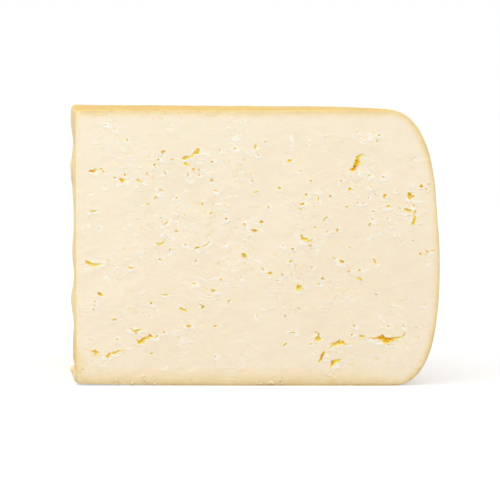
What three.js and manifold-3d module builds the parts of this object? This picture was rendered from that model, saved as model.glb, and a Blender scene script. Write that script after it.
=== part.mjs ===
// A quarter of a small wheel of pecorino, standing on the rind of its base.
// Millimetres, +Z up. The origin is the middle of the bounding box, on the surface that it stands on.
// The near cut face looks along -Y, with the tip at its left end and the round rim at its right end.
// The side cut face goes back from the tip. Both are named by what is met from the tip: along, then up.
import * as THREE from "three";
import { mergeVertices } from "three/addons/utils/BufferGeometryUtils.js";
import Module from "manifold-3d";

const wasm = await Module();
wasm.setup();

// The wheel, whose axis is the upright line through the tip
const WHEEL_RADIUS = 105.4; // at the widest ring of the rim
const WHEEL_HEIGHT = 80;
const BELLY_LEVEL = 34.5; // level of the widest ring
const TOP_SHOULDER = 16.4; // the flat top ends this far inside the widest ring
const BASE_SHOULDER = 15; // and the flat base this far inside it
const SIDE_FULLNESS = 2.32; // powers of the rim's outline, where 2 is a plain ellipse
const SHOULDER_FULLNESS = 2.75;
const TIP_LIFT = 0.65; // the base curls up by this much at the tip
const TIP_LIFT_REACH = 32;
const RIND_RELIEF = { height: 0.22, length: 34, seed: 5 };

// Facets of the wheel
const RIM_COLUMNS = 120;
const ROWS_ABOVE_BELLY = 10;
const ROWS_BELOW_BELLY = 8;
const FLAT_RINGS = 5;
const ON_PLANE = 1e-3; // a corner this close to a plane lies on it

// The two cuts
const SECTOR_ANGLE = THREE.MathUtils.degToRad(94);
const CUT_OVERSHOOT = 6; // each cut runs this far past the wheel
const CUT_CELL = 4.9; // grid of the cut faces, fine enough for their waves
const FRONT_RELIEF = { height: 0.14, length: 24, seed: 11 };
const SIDE_RELIEF = { height: 0.16, length: 21, seed: 23 };
const SIDE_SWELLS = [
  { level: 76.5, rise: 0.5, reach: 5 },
  { level: 60, rise: 0.45, reach: 5 },
  { level: 34, rise: 0.25, reach: 6 },
]; // level ridges that the knife left

// A torn flap of paste at the foot of the tip
const FLAP = { halves: [1.5, 2.2, 2.9], lean: -14, at: [-0.2, 1.7, 3.3], seed: 41 };

// Openings in the paste. A tilt is in degrees, rising away from the tip.
const LUMPS = 0.26; // how far a corner of a lump or an opening's wall moves, as a share of its size
const LEAST_DEPTH = 0.75;
const DEPTH_SHARE = 0.75; // depth as a share of the mouth's width
const LEAST_WIDTH = 0.9;
const FINE_LENGTH = 2.5; // openings at least this long get the finer wall
const FRONT_OPENINGS = [
  { along: 5.7, up: 62.4, long: 4.2, wide: 1.1, tilt: 5 },
  { along: 12.9, up: 59.5, long: 2.3, wide: 1.2, tilt: -15 },
  { along: 33.8, up: 67.1, long: 5.7, wide: 1.0, tilt: 28 },
  { along: 52.1, up: 69.3, long: 1.8, wide: 0.9, tilt: 85 },
  { along: 61.7, up: 65.3, long: 1.8, wide: 0.9, tilt: 10 },
  { along: 81.0, up: 64.4, long: 5.7, wide: 1.6, tilt: 55 },
  { along: 79.4, up: 56.8, long: 1.6, wide: 0.9, tilt: 30 },
  { along: 72.3, up: 48.5, long: 1.9, wide: 0.9, tilt: 35 },
  { along: 65.3, up: 52.5, long: 1.8, wide: 1.1, tilt: -40 },
  { along: 96.8, up: 55.2, long: 2.3, wide: 1.9, tilt: 20 },
  { along: 100.0, up: 58.0, long: 1.9, wide: 0.9, tilt: 0 },
  { along: 97.2, up: 49.0, long: 4.9, wide: 0.9, tilt: -75 },
  { along: 51.9, up: 45.2, long: 2.4, wide: 0.9, tilt: -10 },
  { along: 67.0, up: 42.8, long: 3.9, wide: 1.0, tilt: -10 },
  { along: 48.7, up: 37.8, long: 1.9, wide: 1.5, tilt: -20 },
  { along: 55.9, up: 32.9, long: 1.8, wide: 1.1, tilt: 25 },
  { along: 5.0, up: 35.8, long: 4.5, wide: 1.0, tilt: -8 },
  { along: 36.6, up: 40.3, long: 4.2, wide: 0.8, tilt: 13 },
  { along: 64.8, up: 28.5, long: 2.1, wide: 1.3, tilt: 25 },
  { along: 39.8, up: 27.7, long: 1.6, wide: 0.9, tilt: -20 },
  { along: 6.6, up: 25.6, long: 2.0, wide: 1.0, tilt: 60 },
  { along: 31.3, up: 21.7, long: 2.3, wide: 0.8, tilt: -20 },
  { along: 32.6, up: 17.3, long: 1.6, wide: 1.0, tilt: 0 },
  { along: 19.9, up: 13.5, long: 4.9, wide: 1.5, tilt: 15 },
  { along: 11.2, up: 8.9, long: 6.2, wide: 1.2, tilt: 12 },
  { along: 5.7, up: 9.3, long: 2.4, wide: 1.3, tilt: -30 },
  { along: 69.9, up: 14.1, long: 2.7, wide: 1.2, tilt: -25 },
  { along: 76.3, up: 11.6, long: 5.7, wide: 1.5, tilt: 8 },
  { along: 71.4, up: 8.4, long: 3.2, wide: 1.6, tilt: 60 },
  { along: 89.4, up: 13.8, long: 9.6, wide: 1.6, tilt: 3 },
  { along: 95.2, up: 15.4, long: 2.6, wide: 1.1, tilt: 55 },
];
const FRONT_SCATTER = { count: 14, least: 1.0, most: 1.7, seed: 3 };
const SIDE_SCATTER = { count: 44, least: 1.0, most: 7.5, seed: 9 };
const SCATTER_MARGIN = 6; // from the edges of the cut face
const SCATTER_GAP = 5; // least distance between two openings

const PASTE = new THREE.MeshStandardMaterial({ color: 0xf6e9cd, roughness: 0.6, metalness: 0 });

// A repeatable source of numbers from 0 to 1
function seededRandom(seed) {
  let state = seed;
  return () => {
    state = (state + 0x6d2b79f5) | 0;
    let mixed = Math.imul(state ^ (state >>> 15), 1 | state);
    mixed = (mixed + Math.imul(mixed ^ (mixed >>> 7), 61 | mixed)) ^ mixed;
    return ((mixed ^ (mixed >>> 14)) >>> 0) / 2 ** 32;
  };
}

// A smooth uneven surface: plane waves of about one length that cross in all directions
function unevenness({ height, length, seed }) {
  const random = seededRandom(seed);
  const waves = Array.from({ length: 5 }, (_, index) => ({
    heading: (Math.PI * (index + random())) / 5,
    pace: (2 * Math.PI * (0.7 + 0.7 * random())) / length,
    start: 2 * Math.PI * random(),
  }));
  return (u, v) => {
    const level = ({ heading, pace, start }) =>
      Math.sin(pace * (u * Math.cos(heading) + v * Math.sin(heading)) + start);
    return (height / 2) * waves.reduce((sum, wave) => sum + level(wave), 0);
  };
}

// A closed solid from a geometry, with its shared corners merged
function solidOf(geometry) {
  geometry.deleteAttribute("normal");
  geometry.deleteAttribute("uv");
  const merged = mergeVertices(geometry);
  const corners = merged.index.array;
  const triangles = [];
  for (let i = 0; i < corners.length; i += 3) {
    const [a, b, c] = corners.slice(i, i + 3);
    if (a !== b && b !== c && c !== a) triangles.push(a, b, c);
  }
  const vertProperties = new Float32Array(merged.attributes.position.array);
  const triVerts = new Uint32Array(triangles);
  return new wasm.Manifold(new wasm.Mesh({ numProp: 3, vertProperties, triVerts }));
}

// Moves every corner of a geometry to where the rule puts it
function reshape(geometry, rule) {
  const position = geometry.attributes.position;
  const point = new THREE.Vector3();
  for (let i = 0; i < position.count; i++) {
    point.fromBufferAttribute(position, i);
    rule(point);
    position.setXYZ(i, point.x, point.y, point.z);
  }
  return geometry;
}

// Radius of the wheel's skin at a swing from the belly, where a quarter turn up is the flat top
function rimPoint(swing) {
  const above = swing > 0;
  const shoulder = above ? TOP_SHOULDER : BASE_SHOULDER;
  const span = above ? WHEEL_HEIGHT - BELLY_LEVEL : BELLY_LEVEL;
  const rise = Math.abs(Math.sin(swing)) ** (2 / SIDE_FULLNESS);
  const reach = Math.abs(Math.cos(swing)) ** (2 / SHOULDER_FULLNESS);
  const up = BELLY_LEVEL + Math.sign(swing) * span * rise;
  return new THREE.Vector2(WHEEL_RADIUS - shoulder * (1 - reach), up);
}

// Half of the wheel's section, from the middle of its base round the rim to the middle of its top
function wheelProfile() {
  const rim = [];
  for (let row = -ROWS_BELOW_BELLY; row <= ROWS_ABOVE_BELLY; row++) {
    const rows = row < 0 ? ROWS_BELOW_BELLY : ROWS_ABOVE_BELLY;
    rim.push(rimPoint((Math.PI / 2) * (row / rows)));
  }
  const rings = Array.from({ length: FLAT_RINGS }, (_, ring) => ring / FLAT_RINGS);
  const base = rings.map((share) => new THREE.Vector2(share * rim[0].x, 0));
  const top = rings.map((share) => new THREE.Vector2(share * rim.at(-1).x, WHEEL_HEIGHT)).reverse();
  return [...base, ...rim, ...top];
}

// The rind's unevenness, which leaves the base flat but for the lift at the tip
function wearRind(point) {
  const radius = Math.hypot(point.x, point.y);
  const angle = Math.atan2(point.y, point.x);
  if (point.z < ON_PLANE) {
    point.z = TIP_LIFT * Math.max(0, 1 - radius / TIP_LIFT_REACH) ** 2;
    return;
  }
  const share = Math.min(1, point.z / BELLY_LEVEL);
  const swell = share * rindRelief(WHEEL_RADIUS * angle, point.z + radius);
  const outward = 1 + swell / WHEEL_RADIUS;
  point.x *= outward;
  point.y *= outward;
  if (point.z > WHEEL_HEIGHT - ON_PLANE) point.z += topRelief(point.x, point.y) - RIND_RELIEF.height;
}

function makeWheel() {
  const wheel = new THREE.LatheGeometry(wheelProfile(), RIM_COLUMNS);
  const upright = new THREE.Matrix4().set(0, 0, 1, 0, 1, 0, 0, 0, 0, 1, 0, 0, 0, 0, 0, 1);
  return solidOf(reshape(wheel.applyMatrix4(upright), wearRind));
}

// The block of air beyond one cut, whose uneven near side shapes the cut face
function makeKnife(face) {
  const length = 2 * (WHEEL_RADIUS + CUT_OVERSHOOT);
  const thickness = WHEEL_RADIUS + CUT_OVERSHOOT;
  const height = WHEEL_HEIGHT + 2 * CUT_OVERSHOOT;
  const cells = [Math.round(length / CUT_CELL), 1, Math.round(height / CUT_CELL)];
  const block = new THREE.BoxGeometry(length, thickness, height, ...cells);
  block.translate(0, -thickness / 2, WHEEL_HEIGHT / 2);
  const shapeCut = (point) => {
    if (point.y > -ON_PLANE) point.y = face.sheet(point.x * face.heading, point.z);
  };
  return solidOf(reshape(block, shapeCut).rotateZ(face.turn));
}

// A ball of radius 1 whose corners are moved in and out
function lumpyBall(detail, random) {
  const ball = new THREE.IcosahedronGeometry(1, detail).deleteAttribute("normal").deleteAttribute("uv");
  return reshape(mergeVertices(ball), (point) => point.multiplyScalar(1 + LUMPS * (2 * random() - 1)));
}

// One lumpy opening, half sunk in a cut face
function makeOpening(face, { along, up, long, wide, tilt }, random) {
  const pit = lumpyBall(long < FINE_LENGTH ? 0 : 1, random);
  pit.scale(long / 2, Math.max(LEAST_DEPTH, DEPTH_SHARE * wide), wide / 2);
  pit.rotateY(-THREE.MathUtils.degToRad(tilt) * face.heading);
  pit.translate(along * face.heading, face.sheet(along, up), up);
  return solidOf(pit.rotateZ(face.turn));
}

// Openings spread over a cut face, many small and few large, clear of its edges and of those there
function scatterOpenings({ count, least, most, seed }, present) {
  const random = seededRandom(seed);
  const placed = [...present];
  while (placed.length < present.length + count) {
    const along = THREE.MathUtils.lerp(SCATTER_MARGIN, WHEEL_RADIUS - SCATTER_MARGIN, random());
    const up = THREE.MathUtils.lerp(SCATTER_MARGIN, WHEEL_HEIGHT - SCATTER_MARGIN, random());
    const long = THREE.MathUtils.lerp(least, most, random() ** 4);
    const wide = Math.max(LEAST_WIDTH, long * THREE.MathUtils.lerp(0.2, 0.45, random()));
    const room = SCATTER_GAP + long / 2;
    const crowded = placed.some((other) => Math.hypot(other.along - along, other.up - up) < room);
    const nearRim = along > WHEEL_RADIUS - TOP_SHOULDER && Math.abs(up - BELLY_LEVEL) > BELLY_LEVEL / 2;
    if (!crowded && !nearRim) placed.push({ along, up, long, wide, tilt: 180 * random() });
  }
  return placed;
}

function makeFlap() {
  const lump = lumpyBall(1, seededRandom(FLAP.seed)).scale(...FLAP.halves);
  lump.rotateY(THREE.MathUtils.degToRad(FLAP.lean));
  return solidOf(lump.translate(...FLAP.at));
}

function makeCheese() {
  let cheese = makeWheel();
  for (const face of [FRONT_CUT, SIDE_CUT]) cheese = cheese.subtract(makeKnife(face));
  cheese = cheese.add(makeFlap());
  for (const face of [FRONT_CUT, SIDE_CUT]) {
    const random = seededRandom(face.scatter.seed + 1);
    for (const opening of scatterOpenings(face.scatter, face.openings)) {
      cheese = cheese.subtract(makeOpening(face, opening, random));
    }
  }
  return cheese;
}

// The geometry of a solid, moved so that the middle of its footprint is the origin
function geometryOf(solid) {
  const { vertProperties, triVerts } = solid.getMesh();
  const geometry = new THREE.BufferGeometry();
  geometry.setAttribute("position", new THREE.BufferAttribute(new Float32Array(vertProperties), 3));
  geometry.setIndex(new THREE.BufferAttribute(new Uint32Array(triVerts), 1));
  geometry.computeBoundingBox();
  const middle = geometry.boundingBox.getCenter(new THREE.Vector3());
  geometry.translate(-middle.x, -middle.y, -geometry.boundingBox.min.z);
  geometry.computeVertexNormals();
  return geometry;
}

const rindRelief = unevenness(RIND_RELIEF);
const topRelief = unevenness({ ...RIND_RELIEF, seed: RIND_RELIEF.seed + 1 });
const frontRelief = unevenness(FRONT_RELIEF);
const sideRelief = unevenness(SIDE_RELIEF);

const FRONT_CUT = {
  turn: 0,
  heading: 1,
  sheet: (along, up) => frontRelief(along, up),
  openings: FRONT_OPENINGS,
  scatter: FRONT_SCATTER,
};
const SIDE_CUT = {
  turn: SECTOR_ANGLE + Math.PI,
  heading: -1,
  sheet: (along, up) => {
    const swell = ({ level, rise, reach }) => rise * Math.exp(-(((up - level) / reach) ** 2));
    return SIDE_SWELLS.reduce((sheet, ridge) => sheet - swell(ridge), sideRelief(along, up));
  },
  openings: [],
  scatter: SIDE_SCATTER,
};

const pecorino = new THREE.Mesh(geometryOf(makeCheese()), PASTE);
pecorino.name = "pecorino";

const part = new THREE.Group();
part.add(pecorino);
export default part;
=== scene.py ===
"""The looks of a quarter wheel of pecorino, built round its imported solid.

Shapes are worked out in millimetres from the wheel's axis, the upright line through the tip, and go into
the scene in metres. The near cut looks along -Y, and the side cut goes back from the tip.
"""

from __future__ import annotations

import logging
import math
from dataclasses import dataclass
from enum import Enum
from itertools import product
from typing import NamedTuple

import bmesh
import bpy
import numpy as np
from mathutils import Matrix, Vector
from mathutils.bvhtree import BVHTree
from mathutils.kdtree import KDTree


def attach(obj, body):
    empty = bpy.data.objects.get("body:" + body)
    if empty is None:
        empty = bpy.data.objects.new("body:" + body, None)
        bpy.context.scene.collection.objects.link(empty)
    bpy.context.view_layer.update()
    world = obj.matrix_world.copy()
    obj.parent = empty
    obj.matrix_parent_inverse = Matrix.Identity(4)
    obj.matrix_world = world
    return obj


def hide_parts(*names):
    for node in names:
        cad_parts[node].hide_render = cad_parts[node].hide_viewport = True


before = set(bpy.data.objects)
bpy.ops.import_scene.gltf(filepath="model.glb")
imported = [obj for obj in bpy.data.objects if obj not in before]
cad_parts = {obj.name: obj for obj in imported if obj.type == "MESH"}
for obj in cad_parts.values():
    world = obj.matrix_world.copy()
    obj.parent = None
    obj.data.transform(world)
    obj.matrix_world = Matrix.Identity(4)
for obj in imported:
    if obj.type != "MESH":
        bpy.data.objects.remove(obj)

LOG = logging.getLogger("pecorino")
MM = 0.001
NEARLY_ZERO = 1e-6
NODE = "pecorino"
BODY = "root"
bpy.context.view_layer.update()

Point = tuple[float, float]
Span = tuple[float, float]
Place = tuple[float, float, float]
Colour = tuple[float, float, float]
Socket = bpy.types.NodeSocket


class Side(Enum):
    """The two faces that the knife left."""

    NEAR = "near"
    FAR = "far"


class Unevenness:
    """Smooth unevenness in space that is the same each run."""

    LATTICE = 32
    LAYER_SHIFT = 17.3
    LAYER_TOTAL = 1.6

    def __init__(self, seed: int) -> None:
        """Fills the lattice of heights, by the start of its random draws."""
        shape = (self.LATTICE, self.LATTICE, self.LATTICE)
        self.heights = np.random.default_rng(seed).uniform(-1.0, 1.0, shape)

    def at(self, points: np.ndarray, size: float | Place) -> np.ndarray:
        """Reads the unevenness at points.

        Args:
            points: Places in millimetres, one a row.
            size: Length of one swell, or one length an axis.

        Returns:
            A height from -1 to 1 for each point.
        """
        scaled = points / np.asarray(size)
        cell = np.floor(scaled).astype(int)
        share = scaled - cell
        blend = share**3 * (share * (share * 6.0 - 15.0) + 10.0)
        total = np.zeros(len(points))
        for corner in product((0, 1), repeat=3):
            index = (cell + corner) % self.LATTICE
            weight = np.where(corner, blend, 1.0 - blend).prod(axis=1)
            total += weight * self.heights[index[:, 0], index[:, 1], index[:, 2]]
        return total

    def rough(self, points: np.ndarray, size: float, layers: int = 3) -> np.ndarray:
        """Adds finer and finer unevenness together.

        Args:
            points: Places in millimetres, one a row.
            size: Length of the longest swell.
            layers: How many times the length is halved.

        Returns:
            A height of about -1 to 1 for each point.
        """
        total = np.zeros(len(points))
        for layer in range(layers):
            total += self.at(points + self.LAYER_SHIFT * layer, size / 2.0**layer) / 2.0**layer
        return total / self.LAYER_TOTAL


def rise(value: np.ndarray, start: float, end: float) -> np.ndarray:
    """Rises smoothly from 0, where the value is at the start, to 1, where it is at the end."""
    share = np.clip((value - start) / (end - start), 0.0, 1.0)
    return share * share * (3.0 - 2.0 * share)


@dataclass(frozen=True)
class Wheel:
    """The whole wheel that the piece was cut from, and how the piece was cut."""

    radius: float = 105.4
    height: float = 80.0
    belly: float = 34.5
    top_shoulder: float = 16.4
    base_shoulder: float = 15.0
    side_fullness: float = 2.32
    shoulder_fullness: float = 2.75
    sector: float = math.radians(93.8)
    tip_lift: float = 0.6
    tip_lift_reach: float = 52.0

    OUTLINE_POINTS = 4001

    def rim(self, swing: np.ndarray) -> np.ndarray:
        """Gives the rim's outline.

        Args:
            swing: Angles in radians, from the base's edge at -90 degrees to the top's at 90.

        Returns:
            Radius and level of each point of the outline.
        """
        above = swing > 0.0
        shoulder = np.where(above, self.top_shoulder, self.base_shoulder)
        span = np.where(above, self.height - self.belly, self.belly)
        reach = np.abs(np.cos(swing)) ** (2.0 / self.shoulder_fullness)
        up = np.abs(np.sin(swing)) ** (2.0 / self.side_fullness) * np.sign(swing)
        return np.column_stack((self.radius - shoulder * (1.0 - reach), self.belly + span * up))

    def even_rim(self, shares: np.ndarray) -> np.ndarray:
        """Gives points of the rim's outline by their share of its length.

        Args:
            shares: 0 at the base's edge to 1 at the top's.

        Returns:
            Radius and level of each point.
        """
        fine = self.rim(np.linspace(-math.pi / 2.0, math.pi / 2.0, self.OUTLINE_POINTS))
        steps = np.hypot(*np.diff(fine, axis=0).T)
        length = np.concatenate(([0.0], np.cumsum(steps)))
        at = shares * length[-1]
        return np.column_stack((np.interp(at, length, fine[:, 0]), np.interp(at, length, fine[:, 1])))

    def lift(self, points: np.ndarray) -> np.ndarray:
        """How far the piece curls up near its tip.

        Args:
            points: Places in the wheel, one a row.

        Returns:
            The lift of each point.
        """
        reach = np.hypot(points[:, 0], points[:, 1]) / self.tip_lift_reach
        high = np.clip(1.0 - points[:, 2] / self.height, 0.0, 1.0) ** 6
        return self.tip_lift * np.clip(1.0 - reach, 0.0, 1.0) ** 2 * high

    def place(self, box: np.ndarray) -> np.ndarray:
        """Bends a unit box into the piece, before its edges are worn.

        Args:
            box: Places in the unit box. x runs along the near cut, y along the side cut and z up.

        Returns:
            Places in the wheel.
        """
        across, back, up = box.T
        x = across * np.sqrt(1.0 - back**2 / 2.0)
        y = back * np.sqrt(1.0 - across**2 / 2.0)
        share = np.hypot(x, y)
        angle = np.arctan2(y, x) * self.sector / (math.pi / 2.0)
        rim = self.even_rim(up)
        pull = share**4
        level = (1.0 - pull) * up * self.height + pull * rim[:, 1]
        reach = share * rim[:, 0]
        return np.column_stack((reach * np.cos(angle), reach * np.sin(angle), level))


class Skin:
    """Measures how far a place is under the rind."""

    STEP = 0.15
    RIM_POINTS = 900

    def __init__(self, wheel: Wheel) -> None:
        """Lays points along the rind's section.

        Args:
            wheel: The wheel whose rind it is.
        """
        rim = wheel.even_rim(np.linspace(0.0, 1.0, self.RIM_POINTS))
        base = np.arange(0.0, rim[0, 0], self.STEP)
        top = np.arange(rim[-1, 0] - self.STEP, -self.STEP, -self.STEP)
        self.points = np.vstack((
            np.column_stack((base, np.zeros_like(base))),
            rim,
            np.column_stack((top, np.full_like(top, wheel.height))),
        ))
        along = np.gradient(self.points, axis=0)
        along /= np.linalg.norm(along, axis=1, keepdims=True)
        self.inward = np.column_stack((-along[:, 1], along[:, 0]))
        self.tree = KDTree(len(self.points))
        for index, (reach, up) in enumerate(self.points):
            self.tree.insert((reach, up, 0.0), index)
        self.tree.balance()

    def under(self, points: np.ndarray) -> tuple[np.ndarray, np.ndarray]:
        """Measures points against the rind.

        Args:
            points: Places in the wheel, one a row.

        Returns:
            The depth of each point under the rind, and the way into the cheese from there.
        """
        flat = np.column_stack((np.hypot(points[:, 0], points[:, 1]), points[:, 2]))
        nearest = np.array([self.tree.find((reach, up, 0.0))[1] for reach, up in flat])
        inward = self.inward[nearest]
        depth = ((flat - self.points[nearest]) * inward).sum(axis=1)
        angle = np.arctan2(points[:, 1], points[:, 0])
        way = np.column_stack((inward[:, 0] * np.cos(angle), inward[:, 0] * np.sin(angle), inward[:, 1]))
        return depth, way


@dataclass(frozen=True)
class CutFace:
    """One face that the knife left, met from the tip: along it, then into the cheese, then up."""

    side: Side
    turn: float

    @property
    def heading(self) -> np.ndarray:
        """The way from the tip along the face."""
        return np.array([math.cos(self.turn), math.sin(self.turn), 0.0])

    @property
    def inward(self) -> np.ndarray:
        """The way from the face into the cheese."""
        quarter = math.pi / 2.0 if self.side is Side.NEAR else -math.pi / 2.0
        return np.array([math.cos(self.turn + quarter), math.sin(self.turn + quarter), 0.0])

    def flat(self, points: np.ndarray) -> np.ndarray:
        """Gives how far places in the wheel are along this face, into the cheese and up."""
        return np.column_stack((points @ self.heading, points @ self.inward, points[:, 2]))

    def space(self, places: np.ndarray) -> np.ndarray:
        """Turns places met by this face into places in the wheel.

        Args:
            places: How far each one is along, into and up.

        Returns:
            Places in the wheel, one a row.
        """
        flat = places[:, :1] * self.heading + places[:, 1:2] * self.inward
        flat[:, 2] = places[:, 2]
        return flat


@dataclass(frozen=True)
class Opening:
    """An opening in a cut face: a bent line with a width. Places are along from the tip and up."""

    path: tuple[Point, ...]
    wide: float
    widest: float = 0.5
    depth: float = 0.0

    @property
    def deep(self) -> float:
        """How far the opening goes in: by its width, where no depth is given."""
        return self.depth or 0.14 + 0.32 * self.wide


def pore(along: float, up: float, long: float, wide: float, tilt: float = 0.0) -> Opening:
    """Makes a small straight opening.

    Args:
        along: Place of its middle from the tip.
        up: Level of its middle.
        long: Length.
        wide: Width.
        tilt: Degrees that it rises, away from the tip.

    Returns:
        The opening.
    """
    run = 0.5 * long * math.cos(math.radians(tilt))
    climb = 0.5 * long * math.sin(math.radians(tilt))
    return Opening(((along - run, up - climb), (along + run, up + climb)), wide)


# The small pores of the near cut: along, up, length, width and tilt.
NEAR_PORES = (
    (5.5, 24.5, 0.8, 0.5, 80), (5.4, 23.4, 0.6, 0.4, 80), (5.1, 22.3, 0.9, 0.5, 80),
    (7.3, 62.9, 1.0, 0.5, 10), (8.0, 62.1, 0.9, 0.5, -45), (34.0, 62.8, 1.3, 0.7, -20),
    (35.7, 61.1, 0.9, 0.6, 80), (35.6, 62.7, 0.6, 0.5), (93.8, 51.5, 0.8, 0.6, -10),
    (101.4, 57.2, 1.1, 0.5, -20), (102.2, 58.5, 1.4, 0.45, 5), (67.8, 40.7, 1.4, 0.45, 5),
    (101.7, 39.0, 1.3, 0.5, 15), (103.3, 39.3, 1.6, 0.45, 5), (94.8, 17.5, 1.0, 0.45, 100),
    (69.4, 9.6, 0.7, 0.5), (68.1, 12.1, 0.8, 0.45, 20), (90.5, 12.1, 0.9, 0.6, 10),
    (11.3, 60.4, 0.9, 0.7, -20), (25.3, 67.9, 1.6, 0.9, 10), (23.9, 65.6, 1.0, 0.7),
    (22.7, 64.2, 0.9, 0.8), (27.8, 65.6, 1.9, 0.4, 5), (25.8, 61.9, 1.7, 0.4, -60),
    (32.4, 61.1, 1.8, 0.4, 75), (39.5, 64.9, 1.0, 0.9, 30), (39.3, 59.7, 1.2, 0.9, 40),
    (40.4, 56.7, 1.2, 0.5, -35), (24.7, 56.8, 2.4, 0.4, -20), (29.1, 54.6, 0.6, 0.6),
    (20.8, 52.7, 1.3, 0.5, -25), (26.0, 47.2, 2.1, 0.5, 30), (29.1, 44.9, 1.2, 0.8, -20),
    (31.7, 41.1, 1.2, 0.6, -15), (39.2, 50.0, 0.9, 0.8), (43.5, 48.5, 0.9, 0.7),
    (48.8, 46.9, 1.1, 0.7, -30), (52.0, 69.4, 1.8, 0.9, 85), (51.0, 59.5, 0.7, 0.6),
    (52.1, 56.3, 1.9, 0.5, 8), (4.8, 50.7, 2.1, 0.6, 5), (61.8, 65.3, 1.8, 0.9, 8),
    (65.0, 62.4, 1.2, 0.4, 20), (68.0, 59.4, 0.7, 0.6), (58.9, 57.5, 1.6, 0.8, -10),
    (66.6, 55.5, 1.1, 0.8, 20), (65.5, 52.8, 1.7, 0.8, 30), (64.8, 51.3, 1.0, 0.5),
    (70.2, 54.3, 1.7, 0.5, 95), (73.6, 55.1, 0.9, 0.8), (79.3, 57.0, 1.5, 0.9, -5),
    (76.8, 59.5, 0.9, 0.6), (84.9, 61.0, 0.8, 0.6, 60), (85.3, 57.9, 0.7, 0.6),
    (89.4, 55.2, 1.4, 1.0, 25), (90.4, 52.1, 1.6, 0.6, 20), (97.8, 52.3, 0.9, 0.6, 80),
    (78.4, 52.0, 1.0, 0.8, 50), (72.2, 48.5, 2.0, 0.85, 35), (85.0, 46.9, 0.9, 0.7),
    (75.7, 45.2, 1.3, 0.7, 45), (53.8, 47.5, 1.4, 0.8, 10), (55.8, 51.9, 0.7, 0.7),
    (62.8, 39.7, 1.1, 0.5, -5), (79.3, 40.1, 0.8, 0.5), (87.6, 72.6, 0.9, 0.7, 30),
    (87.1, 71.1, 0.7, 0.6), (62.2, 36.1, 1.3, 0.6), (54.1, 33.9, 1.3, 0.6, -35),
    (56.1, 32.8, 1.7, 1.0, 15), (71.4, 31.1, 1.3, 0.8, -15), (70.4, 29.6, 1.0, 0.5),
    (79.0, 33.3, 0.7, 0.6), (82.1, 33.6, 1.0, 0.8, 15), (87.0, 26.5, 1.2, 0.5, -10),
    (64.7, 22.5, 0.7, 0.7), (60.6, 20.3, 0.7, 0.7), (52.3, 20.3, 1.0, 0.6, 80),
    (80.6, 17.4, 1.0, 0.6, 5), (79.9, 14.8, 0.8, 0.6, 15), (90.5, 17.3, 0.7, 0.6),
    (62.7, 15.5, 2.0, 0.35), (60.6, 12.0, 1.6, 0.6, 35), (68.3, 34.5, 0.7, 0.5),
    (16.0, 34.4, 1.7, 0.6, -5), (24.3, 36.7, 1.1, 0.6, -15), (34.7, 36.4, 0.9, 0.6),
    (34.1, 29.7, 1.3, 0.7, -5), (39.7, 27.7, 1.4, 0.8, -15), (26.0, 26.5, 2.7, 0.45, -4),
    (11.1, 19.3, 1.9, 0.6, 3), (40.3, 17.5, 1.4, 0.7, 5), (44.3, 24.7, 1.3, 0.6, 30),
    (11.9, 13.5, 0.9, 0.7), (23.4, 14.4, 0.9, 0.7), (25.5, 15.5, 0.7, 0.6), (21.9, 9.4, 1.2, 0.6, 3),
    (54.9, 70.9, 0.9, 0.5, -20),
)

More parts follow.
